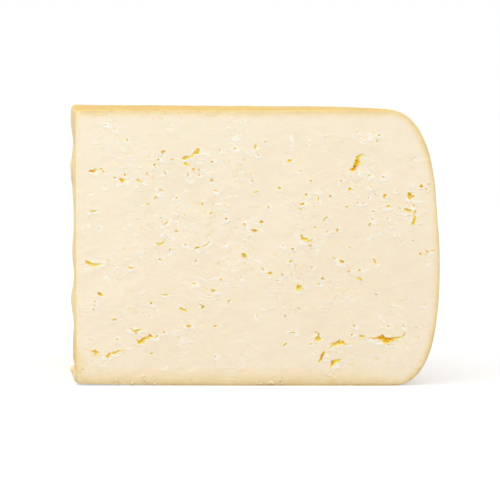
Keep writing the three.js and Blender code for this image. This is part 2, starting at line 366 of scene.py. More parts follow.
# The openings of the near cut, the larger ones by their line, width, widest place and depth.
NEAR_OPENINGS = (
    Opening(((3.6, 62.1), (5.0, 62.3), (6.5, 62.7)), 1.2, 0.35),
    Opening(((12.3, 59.8), (13.2, 59.7), (14.2, 59.1)), 1.5, 0.55),
    Opening(((17.2, 60.0), (18.6, 59.3), (19.8, 58.9)), 0.6, 0.3, 0.3),
    Opening(((30.8, 65.5), (31.8, 66.2), (33.2, 66.7)), 1.1, 0.35),
    Opening(((32.4, 66.5), (33.8, 67.0), (35.0, 67.8), (35.9, 68.9)), 1.15, 0.78),
    Opening(((31.1, 64.9), (32.0, 64.2), (33.1, 63.8)), 0.7, 0.4, 0.4),
    Opening(((79.2, 62.2), (80.5, 63.2), (81.2, 64.6), (81.8, 66.2), (83.4, 67.3)), 1.9, 0.28),
    Opening(((95.8, 56.2), (96.6, 55.0), (96.6, 53.9)), 1.5),
    Opening(((96.2, 55.2), (98.0, 54.8)), 1.4),
    Opening(((94.6, 51.4), (96.0, 50.9), (97.4, 49.9)), 0.9, 0.4),
    Opening(((97.4, 50.0), (97.9, 48.8), (97.8, 47.6), (97.0, 46.5)), 1.1, 0.7),
    Opening(((99.4, 58.3), (100.6, 57.7)), 1.1),
    Opening(((64.8, 43.8), (66.1, 42.7), (67.6, 42.2), (68.8, 42.9)), 0.95, 0.25),
    Opening(((48.0, 38.6), (49.5, 37.3)), 1.6, 0.6),
    Opening(((63.7, 28.1), (64.9, 28.6), (65.7, 29.1)), 1.3, 0.3),
    Opening(((2.5, 36.5), (3.8, 35.7), (5.4, 35.1), (7.4, 35.6)), 1.2, 0.25),
    Opening(((22.8, 41.3), (24.3, 41.1), (25.6, 42.0), (26.3, 43.3)), 0.6, 0.25, 0.3),
    Opening(((34.2, 39.8), (35.3, 40.1), (36.3, 40.1)), 0.9, 0.45),
    Opening(((36.2, 40.3), (37.6, 40.8), (38.8, 41.9)), 0.45, 0.4, 0.3),
    Opening(((8.3, 8.5), (9.3, 8.9), (10.4, 9.4)), 1.3, 0.4),
    Opening(((10.0, 9.2), (12.0, 10.0), (14.9, 10.6)), 0.7, 0.25, 0.3),
    Opening(((3.9, 10.3), (5.6, 9.7), (6.9, 9.6)), 1.0, 0.6),
    Opening(((5.8, 9.8), (5.4, 8.5)), 0.9, 0.3),
    Opening(((17.3, 13.4), (18.4, 12.7), (19.8, 13.5), (21.2, 14.4)), 1.4, 0.4),
    Opening(((20.6, 14.1), (21.5, 14.6), (22.5, 13.9)), 1.2, 0.4),
    Opening(((15.4, 16.6), (17.2, 16.0), (19.2, 16.6)), 0.8, 0.5, 0.35),
    Opening(((17.1, 16.0), (17.8, 14.9)), 0.8, 0.3, 0.35),
    Opening(((68.8, 15.8), (70.2, 15.0), (70.0, 14.2), (69.1, 12.7)), 1.0, 0.6),
    Opening(((70.0, 14.5), (70.8, 13.0)), 1.0, 0.6),
    Opening(((73.1, 10.8), (75.2, 12.3), (77.1, 12.6), (79.0, 11.9)), 1.5, 0.6, 0.6),
    Opening(((70.1, 6.5), (70.8, 7.6), (71.5, 8.8), (72.3, 10.0)), 1.5, 0.65),
    Opening(((73.4, 4.8), (74.1, 6.2), (75.0, 7.0), (77.0, 7.6)), 1.3, 0.5),
    Opening(((86.2, 13.9), (88.4, 13.8), (90.3, 13.5), (92.8, 14.0)), 1.7, 0.55, 1.0),
    Opening(((88.6, 13.4), (89.9, 12.7), (91.2, 13.4)), 1.1, 0.5),
    Opening(((84.6, 14.0), (86.0, 13.8), (87.2, 13.9)), 0.6, 0.6, 0.35),
    Opening(((92.3, 13.9), (93.4, 14.0), (94.8, 14.4)), 0.6, 0.3, 0.35),
    Opening(((94.4, 14.2), (95.2, 15.0), (95.2, 16.0)), 0.5, 0.3, 0.3),
    Opening(((81.9, 14.5), (84.0, 14.3)), 0.9),
    Opening(((99.2, 38.2), (100.2, 38.5)), 0.8),
    Opening(((74.1, 37.3), (75.6, 36.6)), 0.6, 0.5, 0.3),
    Opening(((76.2, 36.5), (77.8, 35.7)), 1.1, 0.6),
    Opening(((86.0, 37.0), (86.5, 36.2), (87.2, 35.1)), 0.8, 0.3),
    Opening(((80.6, 31.8), (82.0, 31.2), (83.3, 30.5)), 0.55, 0.7, 0.3),
    Opening(((6.0, 26.6), (7.0, 26.5), (8.0, 26.0)), 1.2, 0.35),
    Opening(((29.8, 22.9), (31.0, 22.3), (32.4, 21.6)), 0.75, 0.4),
    Opening(((36.1, 22.0), (37.2, 23.4)), 1.0, 0.75),
    Opening(((31.6, 17.8), (32.6, 17.1), (33.5, 17.8)), 0.8, 0.5, 0.35),
    Opening(((50.4, 45.4), (51.6, 45.1), (52.9, 45.2)), 1.0),
    Opening(((35.5, 23.9), (36.8, 22.9)), 0.35, 0.5, 0.3),
    *(pore(*row) for row in NEAR_PORES),
)


@dataclass(frozen=True)
class SmearAndHighlight:
    """A pale patch, partly paste that the knife dragged and partly painted highlight: its middle, its size
    and its tilt.
    """

    along: float
    up: float
    long: float
    wide: float
    tilt: float = 0.0
    strength: float = 1.0

    def at(self, flat: np.ndarray) -> np.ndarray:
        """Gives how much of the patch lies at places on the face.

        Args:
            flat: Distance along the face and level, one place a row.

        Returns:
            The share, 0 to its strength.
        """
        turn = math.radians(self.tilt)
        offset = flat - (self.along, self.up)
        run = offset @ (math.cos(turn), math.sin(turn))
        climb = offset @ (-math.sin(turn), math.cos(turn))
        return self.strength * np.exp(-((run / self.long) ** 2) - (climb / self.wide) ** 2)


# The pale patches of the near cut, dragged paste and painted highlight: along, up, length, width, tilt and
# strength.
NEAR_SMEARS_AND_HIGHLIGHTS = tuple(SmearAndHighlight(*row) for row in (
    (34.4, 64.6, 2.2, 1.3, 10.0, 0.8), (37.4, 66.8, 1.8, 1.4, 40.0, 0.6),
    (75.6, 10.0, 2.2, 1.1, 5.0, 0.4), (85.0, 64.4, 1.5, 2.2, 10.0, 0.5),
    (4.6, 33.6, 2.4, 1.0, 0.0, 0.5), (66.4, 41.0, 2.2, 0.8, 0.0, 0.5),
    (95.6, 48.6, 1.2, 2.0, 10.0, 0.5), (36.5, 38.8, 3.0, 0.9, 8.0, 0.6),
    (51.0, 43.4, 2.4, 0.9, 0.0, 0.5), (72.6, 8.0, 1.4, 2.0, 60.0, 0.4),
    (38.2, 61.4, 2.4, 2.0, 0.0, 0.45), (17.0, 60.6, 2.6, 1.6, -10.0, 0.45),
    (64.6, 27.6, 1.4, 0.8, 0.0, 0.5), (85.2, 71.4, 4.0, 0.7, 22.0, 0.7),
    (62.5, 70.5, 0.6, 3.4, 4.0, 0.5), (67.6, 71.0, 0.5, 3.0, 2.0, 0.5),
    (88.0, 44.0, 6.0, 0.7, 26.0, 0.5), (95.0, 30.0, 5.0, 0.6, 18.0, 0.4),
    (45.0, 30.0, 3.5, 1.2, 15.0, 0.4), (20.0, 46.0, 3.0, 1.0, -12.0, 0.4),
    (33.0, 19.5, 0.45, 4.4, -20.0, 0.55), (3.4, 46.2, 2.6, 0.6, 35.0, 0.7),
    (4.2, 55.2, 2.8, 0.5, 28.0, 0.6), (7.2, 50.6, 1.8, 0.9, 20.0, 0.5),
    (11.2, 69.0, 3.0, 0.5, -14.0, 0.6), (15.2, 62.8, 2.2, 1.2, 60.0, 0.6),
    (19.2, 57.8, 1.8, 1.2, 0.0, 0.7), (15.0, 45.8, 2.2, 0.9, 65.0, 0.5),
    (25.4, 43.2, 2.2, 0.9, 50.0, 0.7), (28.6, 43.0, 1.6, 1.4, 60.0, 0.7),
    (32.6, 57.4, 3.2, 0.6, 52.0, 0.7), (46.2, 71.6, 2.2, 1.8, 40.0, 0.5),
    (45.8, 54.8, 2.8, 0.5, 6.0, 0.5), (82.0, 33.0, 4.6, 0.5, 12.0, 0.7),
    (78.8, 25.4, 2.2, 0.5, 12.0, 0.6), (70.6, 40.2, 3.0, 0.5, 62.0, 0.6),
    (88.6, 19.2, 1.8, 0.5, -50.0, 0.6), (73.6, 3.4, 2.6, 0.5, 70.0, 0.6),
    (102.2, 36.0, 0.6, 2.2, 0.0, 0.6),
))


@dataclass(frozen=True)
class Scatter:
    """Openings that fall by chance: how many, how long, how clear of each other and round which spots.

    Where there are spots, one opening in every few strays and falls anywhere.
    """

    cracks: int
    pores: int
    pore_length: float
    seed: int
    clear: float = 4.0
    margin: float = 4.0
    spots: tuple[Point, ...] = ()
    spread: float = 3.5

    STRAYS = 4
    CRACK_ROOM = 1.6
    PORE_ROOM = 0.6
    RIM_ROOM = 1.5

    def openings(self, wheel: Wheel, present: tuple[Opening, ...]) -> list[Opening]:
        """Draws openings clear of the face's edges and of those that are there.

        Args:
            wheel: The wheel that is cut.
            present: Openings that are there already.

        Returns:
            The drawn openings.
        """
        draw = np.random.default_rng(self.seed)
        taken = [np.mean(opening.path, axis=0) for opening in present]
        drawn: list[Opening] = []
        while len(drawn) < self.cracks + self.pores:
            spot = draw.uniform((self.margin, self.margin), (wheel.radius, wheel.height - self.margin))
            if self.spots and len(drawn) % self.STRAYS:
                spot = draw.normal(self.spots[len(drawn) % len(self.spots)], self.spread)
            large = len(drawn) < self.cracks
            room = self.clear * (self.CRACK_ROOM if large else self.PORE_ROOM)
            if self.off_face(spot, wheel) or any(np.hypot(*(spot - other)) < room for other in taken):
                continue
            taken.append(spot)
            drawn.append(self.crack(spot, draw) if large else self.speck(spot, draw))
        return drawn

    def off_face(self, spot: np.ndarray, wheel: Wheel) -> bool:
        """Tells whether an opening at a spot on the face would reach the rind."""
        swing = math.asin(min(1.0, abs(spot[1] - wheel.belly) / (wheel.height - wheel.belly)))
        return spot[0] > wheel.rim(np.array([swing]))[0, 0] - self.RIM_ROOM * self.margin

    def crack(self, spot: np.ndarray, draw: np.random.Generator) -> Opening:
        """Draws a bent opening.

        Args:
            spot: Where it starts.
            draw: Source of random numbers.

        Returns:
            The opening.
        """
        heading = draw.uniform(-0.5, 0.8)
        step = draw.uniform(0.5, 2.0)
        path = [spot]
        for _ in range(3):
            heading += draw.normal(0.0, 0.5)
            path.append(path[-1] + step * np.array([math.cos(heading), math.sin(heading)]))
        wide = draw.uniform(0.6, 1.0) + 0.3 * step
        return Opening(tuple(map(tuple, path)), wide, draw.uniform(0.25, 0.75))

    def speck(self, spot: np.ndarray, draw: np.random.Generator) -> Opening:
        """Draws a small straight opening.

        Args:
            spot: Its middle.
            draw: Source of random numbers.

        Returns:
            The opening.
        """
        long = self.pore_length * (0.7 + draw.exponential(0.4))
        wide = max(0.35, long * draw.uniform(0.35, 0.75))
        return pore(spot[0], spot[1], long, wide, draw.uniform(-60.0, 90.0))


@dataclass(frozen=True)
class Body:
    """A closed body: its points in millimetres from the wheel's axis, and its triangles."""

    points: np.ndarray
    faces: np.ndarray

    @classmethod
    def swept(cls, rings: np.ndarray, start: np.ndarray, end: np.ndarray) -> Body:
        """Closes rings of points into a body that ends in two points.

        Args:
            rings: The rings, each with the same number of points.
            start: The point before the first ring.
            end: The point after the last ring.

        Returns:
            The body, facing outward.
        """
        count, sides = rings.shape[:2]
        lap = np.arange(sides)
        after = (lap + 1) % sides
        faces = []
        for row in range(count - 1):
            low, high = row * sides, (row + 1) * sides
            faces.append(np.column_stack((low + lap, low + after, high + after)))
            faces.append(np.column_stack((low + lap, high + after, high + lap)))
        last = (count - 1) * sides
        faces.append(np.column_stack((after, lap, np.full(sides, count * sides))))
        faces.append(np.column_stack((last + lap, last + after, np.full(sides, count * sides + 1))))
        points = np.vstack((rings.reshape(-1, 3), start, end))
        faces = np.vstack(faces)
        corners = points[faces]
        volume = np.einsum("ij,ij->i", corners[:, 0], np.cross(corners[:, 1], corners[:, 2])).sum()
        return cls(points, faces if volume > 0.0 else faces[:, ::-1])

    def apart(self, other: Body) -> bool:
        """Tells whether the boxes round two bodies keep clear.

        Args:
            other: The other body.

        Returns:
            True if there is room between them.
        """
        below = self.points.max(axis=0) < other.points.min(axis=0)
        above = self.points.min(axis=0) > other.points.max(axis=0)
        return bool((below | above).any())


def layers(bodies: list[Body]) -> list[bpy.types.Mesh]:
    """Joins bodies into as few meshes as possible, in each of which they keep clear of each other.

    Args:
        bodies: The bodies.

    Returns:
        The meshes, in metres.
    """
    groups: list[list[Body]] = []
    for body in bodies:
        room = (group for group in groups if all(body.apart(other) for other in group))
        group = next(room, None)
        if group is None:
            groups.append([body])
        else:
            group.append(body)
    meshes = []
    for group in groups:
        starts = np.cumsum([0] + [len(body.points) for body in group[:-1]])
        points = np.vstack([body.points for body in group]) * MM
        faces = np.vstack([body.faces + start for body, start in zip(group, starts)])
        mesh = bpy.data.meshes.new("layer")
        mesh.from_pydata(points.tolist(), [], faces.tolist())
        meshes.append(mesh)
    return meshes


class Cutter:
    """Sweeps a lumpy closed body along an opening's line."""

    SIDES = 9
    STEP = 0.32
    SINK = 0.2
    LUMPS = 0.45
    RAGS = 0.3
    STRAY = 0.25
    PROBE = 5.0
    PROUD = 0.3
    TIP_SINK = 0.08
    WIDTHS = (0.5, 1.45)
    DEPTHS = (0.7, 1.2)
    FULLNESS = 0.7
    END_DEPTH = 0.2

    def __init__(self, face: CutFace, surface: BVHTree, seed: int) -> None:
        """Keeps what the sweeps share.

        Args:
            face: The cut face that the openings are in.
            surface: The cheese before it is opened, in metres from the wheel's axis.
            seed: Start of the random draws.
        """
        self.face = face
        self.surface = surface
        self.draw = np.random.default_rng(seed)

    def line(self, path: np.ndarray) -> np.ndarray:
        """Lays points evenly along a smooth bend through a path.

        Args:
            path: The places that the bend goes through.

        Returns:
            Places along the face and up, one a row.
        """
        ends = np.vstack((2.0 * path[0] - path[1], path, 2.0 * path[-1] - path[-2]))
        shares = np.linspace(0.0, 1.0, 13)[1:, None]
        fine = [path[:1]]
        for a, b, c, d in zip(ends, ends[1:], ends[2:], ends[3:]):
            second = 2.0 * a - 5.0 * b + 4.0 * c - d
            third = 3.0 * b - a - 3.0 * c + d
            fine.append((2.0 * b + (c - a) * shares + second * shares**2 + third * shares**3) / 2.0)
        bend = np.vstack(fine)
        length = np.concatenate(([0.0], np.cumsum(np.hypot(*np.diff(bend, axis=0).T))))
        at = np.linspace(0.0, length[-1], max(5, int(length[-1] / self.STEP) + 2))
        return np.column_stack((np.interp(at, length, bend[:, 0]), np.interp(at, length, bend[:, 1])))

    def level(self, along: float, up: float) -> float:
        """Finds the cut surface at a place on the face.

        Args:
            along: Distance from the tip.
            up: Level.

        Returns:
            How far the surface lies into the cheese there.
        """
        start = self.face.space(np.array([[along, -self.PROBE, up]]))[0] * MM
        hit = self.surface.ray_cast(Vector(start), Vector(self.face.inward), 2.0 * self.PROBE * MM)
        return 0.0 if hit[0] is None else hit[3] / MM - self.PROBE

    def wander(self, low: float, high: float, *shape: int) -> np.ndarray:
        """Draws numbers that change gently along a line.

        Args:
            low: Least number.
            high: Greatest number.
            shape: How many steps along the line, and how many numbers a step.

        Returns:
            The numbers.
        """
        drawn = self.draw.uniform(low, high, shape)
        padded = np.concatenate((drawn[:1], drawn, drawn[-1:]))
        return (padded[:-2] + 2.0 * padded[1:-1] + padded[2:]) / 4.0

    def body(self, opening: Opening) -> Body:
        """Builds the body that an opening takes away.

        Args:
            opening: The opening.

        Returns:
            The body.
        """
        line = self.line(np.array(opening.path))
        count = len(line)
        shares = np.linspace(0.0, 1.0, count)
        bulge = np.interp(shares, (0.0, opening.widest, 1.0), (0.0, 0.5, 1.0))
        swell = np.sin(math.pi * bulge) ** self.FULLNESS
        half = 0.5 * opening.wide * swell * self.wander(*self.WIDTHS, count)
        sunk = self.END_DEPTH + (1.0 - self.END_DEPTH) * swell**2
        deep = opening.deep * sunk * self.wander(*self.DEPTHS, count)
        heading = np.gradient(line, axis=0)
        heading /= np.linalg.norm(heading, axis=1, keepdims=True)
        across = np.column_stack((-heading[:, 1], heading[:, 0]))
        line += across * (opening.wide * self.wander(-self.STRAY, self.STRAY, count))[:, None]
        surface = np.array([self.level(*spot) for spot in line])
        spin = np.linspace(0.0, 2.0 * math.pi, self.SIDES, endpoint=False)
        lump = self.wander(1.0 - self.LUMPS, 1.0 + self.LUMPS, count, self.SIDES)
        lump *= self.draw.uniform(1.0 - self.RAGS, 1.0 + self.RAGS, (count, self.SIDES))
        reach = half[:, None] * np.cos(spin) * lump
        into = surface[:, None] + deep[:, None] * (self.SINK + np.sin(spin) * lump)
        proud = surface[:, None] - self.PROUD
        into = np.where(np.sin(spin) < -0.5, np.minimum(into, proud), into)
        flat = line[:, None, :] + reach[:, :, None] * across[:, None, :]
        places = np.stack((flat[:, :, 0], into, flat[:, :, 1]), axis=2)
        rings = self.face.space(places[1:-1].reshape(-1, 3)).reshape(count - 2, self.SIDES, 3)
        tips = self.face.space(np.column_stack((line[:, 0], surface + self.TIP_SINK, line[:, 1])))
        return Body.swept(rings, tips[0], tips[-1])


@dataclass(frozen=True)
class Lump:
    """A loose-edged lump of paste that stands out of the cheese."""

    middle: Place
    halves: Place
    lean: float = 0.0
    seed: int = 0

    RINGS = 7
    SIDES = 9

    def body(self) -> Body:
        """Builds the lump.

        Returns:
            The body.
        """
        draw = np.random.default_rng(self.seed)
        rise_to = np.linspace(0.0, math.pi, self.RINGS + 2)[1:-1]
        spin = np.linspace(0.0, 2.0 * math.pi, self.SIDES, endpoint=False)
        flat = np.sin(rise_to)[:, None] * draw.uniform(0.8, 1.2, (self.RINGS, self.SIDES))
        level = np.broadcast_to(-np.cos(rise_to)[:, None], flat.shape)
        ball = np.stack((flat * np.cos(spin), flat * np.sin(spin), level), axis=2)
        rings = self.placed(ball.reshape(-1, 3)).reshape(ball.shape)
        foot, head = self.placed(np.array([[0.0, 0.0, -1.0], [0.0, 0.0, 1.0]]))
        return Body.swept(rings, foot, head)

    def placed(self, points: np.ndarray) -> np.ndarray:
        """Sizes points of a unit ball, leans them and puts them in place.

        Args:
            points: Places in the unit ball, one a row.

        Returns:
            Places in the wheel.
        """
        sized = points * self.halves
        sized[:, 0] += math.tan(math.radians(self.lean)) * sized[:, 2]
        return sized + self.middle


@dataclass(frozen=True)
class BoxGrid:
    """The skin of a unit box in even cells, finer on the two faces that become the cuts."""

    cells: tuple[int, int, int] = (70, 50, 56)
    cuts: int = 2

    def made(self) -> bmesh.types.BMesh:
        """Builds the skin.

        Returns:
            The skin, whose near cut is at y 0 and whose side cut is at x 0.
        """
        grid = bmesh.new()
        corners: dict[tuple[int, ...], bmesh.types.BMVert] = {}
        for axis in range(3):
            first, second = (axis + 1) % 3, (axis + 2) % 3
            spans = (range(self.cells[first]), range(self.cells[second]))
            for end, one, two in product((0, self.cells[axis]), *spans):
                ring = []
                for step_one, step_two in ((0, 0), (1, 0), (1, 1), (0, 1)):
                    index = [0, 0, 0]
                    index[axis], index[first], index[second] = end, one + step_one, two + step_two
                    ring.append(self.corner(grid, corners, tuple(index)))
                grid.faces.new(ring if end else ring[::-1])
        fine = [edge for edge in grid.edges if any(self.on_cut(face) for face in edge.link_faces)]
        bmesh.ops.subdivide_edges(grid, edges=fine, cuts=self.cuts, use_grid_fill=True)
        bmesh.ops.triangulate(grid, faces=[face for face in grid.faces if len(face.verts) > 4])
        grid.verts.index_update()
        return grid

    def corner(self, grid: bmesh.types.BMesh, corners: dict, index: tuple[int, ...]) -> bmesh.types.BMVert:
        """Gives the corner at a place in the grid, made the first time.

        Args:
            grid: The skin.
            corners: The corners so far.
            index: Place in cells.

        Returns:
            The corner.
        """
        if index not in corners:
            corners[index] = grid.verts.new([at / count for at, count in zip(index, self.cells)])
        return corners[index]

    @staticmethod
    def on_cut(face: bmesh.types.BMFace) -> bool:
        """Tells whether a face of the skin becomes part of a cut."""
        middle = face.calc_center_median()
        return min(middle.x, middle.y) < NEARLY_ZERO


class Region(Enum):
    """Parts of the surface that are finished differently, by their material's place."""

    NEAR_CUT = 0
    FAR_CUT = 1
    RIND = 2
    WALL = 3


class Swell(NamedTuple):
    """A swell of a face at one level."""

    level: float
    high: float
    reach: float


class Relief(NamedTuple):
    """How high and how long an unevenness is, and where in the lattice it is read."""

    height: float
    length: float
    shift: float = 0.0

    def even(self, source: Unevenness, points: np.ndarray) -> np.ndarray:
        """Reads it at points as single swells."""
        return self.height * source.at(points + self.shift, self.length)

    def rough(self, source: Unevenness, points: np.ndarray, layers: int = 3) -> np.ndarray:
        """Reads it at points with finer layers over its swells."""
        return self.height * source.rough(points + self.shift, self.length, layers)


@dataclass(frozen=True)
class Wear:
    """How the ideal quarter is worn: its rounded edges and its unevenness."""

    wheel: Wheel
    skin: Skin
    near: CutFace
    far: CutFace
    edge_round: float = 0.45
    corner_round: float = 0.7
    blend: float = 2.5
    near_swells: Relief = Relief(0.14, 24.0)
    near_lumps: Relief = Relief(0.09, 8.0, 9.0)
    near_grain: Relief = Relief(0.05, 3.2)
    streaks: Relief = Relief(0.04, 1.6)
    streak_way: Point = (0.9, 0.43)
    streak_stretch: float = 9.0
    smear_relief: float = 0.05
    far_slow: Relief = Relief(0.18, 21.0, 51.0)
    far_grain: Relief = Relief(0.07, 3.4, 23.0)
    far_stray: Relief = Relief(5.0, 36.0, 7.0)
    stray_span: Span = (60.0, 90.0)
    swell_reach: float = 30.0
    rind_slow: Relief = Relief(0.2, 34.0, 87.0)
    rind_grain: Relief = Relief(0.06, 5.0, 61.0)
    rim_span: Span = (85.0, 100.0)
    grounded_reach: float = 3.0
    grounded_share: float = 0.85
    side_swells: tuple[Swell, ...] = (
        Swell(75.5, 0.45, 4.5), Swell(68.0, -0.35, 3.5), Swell(59.8, 0.7, 3.5), Swell(42.5, -0.5, 7.0),
        Swell(25.2, -0.65, 4.2), Swell(17.3, 0.4, 3.6), Swell(9.5, -0.45, 4.0),
    )
    rim_swells: tuple[Swell, ...] = (Swell(49.5, -0.3, 6.0), Swell(68.0, 0.28, 6.0), Swell(8.0, 0.25, 8.0))
    slow: Unevenness = Unevenness(5)
    quick: Unevenness = Unevenness(29)

    def worn(self, points: np.ndarray, smear_and_highlight: np.ndarray) -> np.ndarray:
        """Wears the piece.

        Args:
            points: Places on the ideal piece, one a row.
            smear_and_highlight: How much the paste is smeared and painted as lit at each.

        Returns:
            Places on the worn piece.
        """
        under, way = self.skin.under(points)
        flat_near, flat_far = self.near.flat(points), self.far.flat(points)
        depths = np.column_stack((flat_near[:, 1], flat_far[:, 1], under))
        near_way = np.broadcast_to(self.near.inward, points.shape)
        far_way = np.broadcast_to(self.far.inward, points.shape)
        ways = np.stack((near_way, far_way, way), axis=1)
        shares = 1.0 - rise(depths, 0.0, self.blend)
        heights = np.column_stack((
            self.near_height(points, flat_near) + self.smear_relief * smear_and_highlight,
            self.far_height(points, flat_far),
            self.rind_height(points),
        ))
        grounded = 1.0 - rise(points[:, 2], 0.0, self.grounded_reach)
        radius = self.edge_round * (1.0 - self.grounded_share * grounded)
        radius += self.corner_round * shares[:, 1] * shares[:, 2]
        short = np.clip(radius[:, None] - depths, 0.0, None)
        length = np.linalg.norm(short, axis=1)
        pull = np.where(length > radius, 1.0 - radius / np.maximum(length, NEARLY_ZERO), 0.0)
        moves = short * pull[:, None] - shares * heights
        worn = points + (ways * moves[:, :, None]).sum(axis=1)
        worn[:, 2] = np.maximum(worn[:, 2], 0.0) + self.wheel.lift(points)
        return worn

    def near_height(self, points: np.ndarray, flat: np.ndarray) -> np.ndarray:
        """Gives how far the near cut stands out, with the marks that the knife dragged up it.

        Args:
            points: Places in the wheel.
            flat: The same places met by the face.

        Returns:
            The height at each place.
        """
        level, steep = self.streak_way
        run = level * flat[:, 0] + steep * flat[:, 2]
        climb = level * flat[:, 2] - steep * flat[:, 0]
        drawn = np.column_stack((run / self.streak_stretch, climb, np.zeros_like(climb)))
        height = self.near_swells.even(self.slow, points) + self.streaks.rough(self.quick, drawn)
        height += self.near_lumps.rough(self.slow, points, 2)
        return height + self.near_grain.rough(self.quick, points)

    def far_height(self, points: np.ndarray, flat: np.ndarray) -> np.ndarray:
        """Gives how far the side cut stands out, with its swells.

        Args:
            points: Places in the wheel.
            flat: The same places met by the face.

        Returns:
            The height at each place.
        """
        height = self.far_slow.even(self.slow, points)
        stray = (1.0 - rise(flat[:, 0], *self.stray_span)) * self.far_stray.even(self.slow, points)
        swells = self.swelled(flat[:, 2] + stray, self.side_swells)
        height += rise(flat[:, 0], 0.0, self.swell_reach) * swells
        return height + self.far_grain.rough(self.quick, points)

    @staticmethod
    def swelled(level: np.ndarray, swells: tuple[Swell, ...]) -> np.ndarray:
        """Adds up the heights of swells at levels."""
        return sum(swell.high * np.exp(-(((level - swell.level) / swell.reach) ** 2)) for swell in swells)

    def rind_height(self, points: np.ndarray) -> np.ndarray:
        """Gives how far the rind stands out.

        Args:
            points: Places in the wheel.

        Returns:
            The height at each place.
        """
        slow = self.rind_slow.even(self.slow, points)
        rim = rise(np.hypot(points[:, 0], points[:, 1]), *self.rim_span)
        swells = rim * self.swelled(points[:, 2], self.rim_swells)
        return slow + swells + self.rind_grain.rough(self.quick, points)


class Graph:
    """Adds nodes to a tree and joins them."""

    def __init__(self, tree: bpy.types.NodeTree) -> None:
        """Keeps the node tree."""
        self.tree = tree

    def add(self, kind: str, inputs: dict | None = None, **settings: object) -> bpy.types.Node:
        """Adds a node.

        Args:
            kind: The node's type.
            inputs: A value or a socket for each named input.
            settings: The node's own settings.

        Returns:
            The node.
        """
        node = self.tree.nodes.new(kind)
        for name, value in settings.items():
            setattr(node, name, value)
        for name, value in (inputs or {}).items():
            if isinstance(value, Socket):
                self.tree.links.new(value, node.inputs[name])
            else:
                node.inputs[name].default_value = value
        return node

    def reckon(self, kind: str, one: object, two: object) -> Socket:
        """Works out one operation on two values or sockets."""
        return self.add("ShaderNodeMath", {0: one, 1: two}, operation=kind).outputs[0]

    def plus(self, one: object, two: object) -> Socket:
        """Adds two values or sockets."""
        return self.reckon("ADD", one, two)

    def less(self, one: object, two: object) -> Socket:
        """Takes the second value or socket from the first."""
        return self.reckon("SUBTRACT", one, two)

    def times(self, one: object, two: object) -> Socket:
        """Multiplies two values or sockets."""
        return self.reckon("MULTIPLY", one, two)

    def noise(self, place: object, length: float, detail: float = 3.0) -> Socket:
        """Reads a noise from 0 to 1 at a place, with swells of that length and that many finer layers."""
        inputs = {"Vector": place, "Scale": 1.0 / length, "Detail": detail, "Roughness": 0.55}
        return self.add("ShaderNodeTexNoise", inputs).outputs[0]

    def span(self, value: object, start: float, end: float, low: float, high: float) -> Socket:
        """Maps a value smoothly from the span start to end to the span low to high."""
        inputs = {"Value": value, "From Min": start, "From Max": end, "To Min": low, "To Max": high}
        return self.add("ShaderNodeMapRange", inputs, interpolation_type="SMOOTHSTEP").outputs[0]

    def blend(self, share: object, one: object, two: object, kind: str = "MIX") -> Socket:
        """Blends two colours or sockets, with that share of the second, in the named way."""
        inputs = {0: share, 6: one, 7: two}
        return self.add("ShaderNodeMix", inputs, data_type="RGBA", blend_type=kind).outputs[2]

    def ramp(self, share: object, stops: tuple[tuple[float, Colour], ...]) -> Socket:
        """Turns a value into a colour.

        Args:
            share: A value from 0 to 1 or a socket.
            stops: The colour at each value.

        Returns:
            The colour.
        """
        node = self.add("ShaderNodeValToRGB", {0: share})
        elements = node.color_ramp.elements
        while len(elements) < len(stops):
            elements.new(0.5)
        for element, (at, colour) in zip(elements, stops):
            element.position = at
            element.color = (*colour, 1.0)
        return node.outputs[0]


class Group:
    """A shader node group with named inputs and outputs."""

    KINDS = {"number": "NodeSocketFloat", "colour": "NodeSocketColor", "place": "NodeSocketVector"}

    def __init__(self, name: str, inputs: dict[str, str], outputs: dict[str, str]) -> None:
        """Makes the group with its sockets.

        Args:
            name: The group's name.
            inputs: Name and kind of each input.
            outputs: Name and kind of each output.
        """
        self.tree = bpy.data.node_groups.new(name, "ShaderNodeTree")
        for label, kind in inputs.items():
            self.tree.interface.new_socket(label, in_out="INPUT", socket_type=self.KINDS[kind])
        for label, kind in outputs.items():
            self.tree.interface.new_socket(label, in_out="OUTPUT", socket_type=self.KINDS[kind])
        self.graph = Graph(self.tree)
        self.given = self.graph.add("NodeGroupInput").outputs
        self.result = self.graph.add("NodeGroupOutput").inputs

    def put(self, name: str, value: Socket) -> None:
        """Joins a value to the output of that name."""
        self.tree.links.new(value, self.result[name])


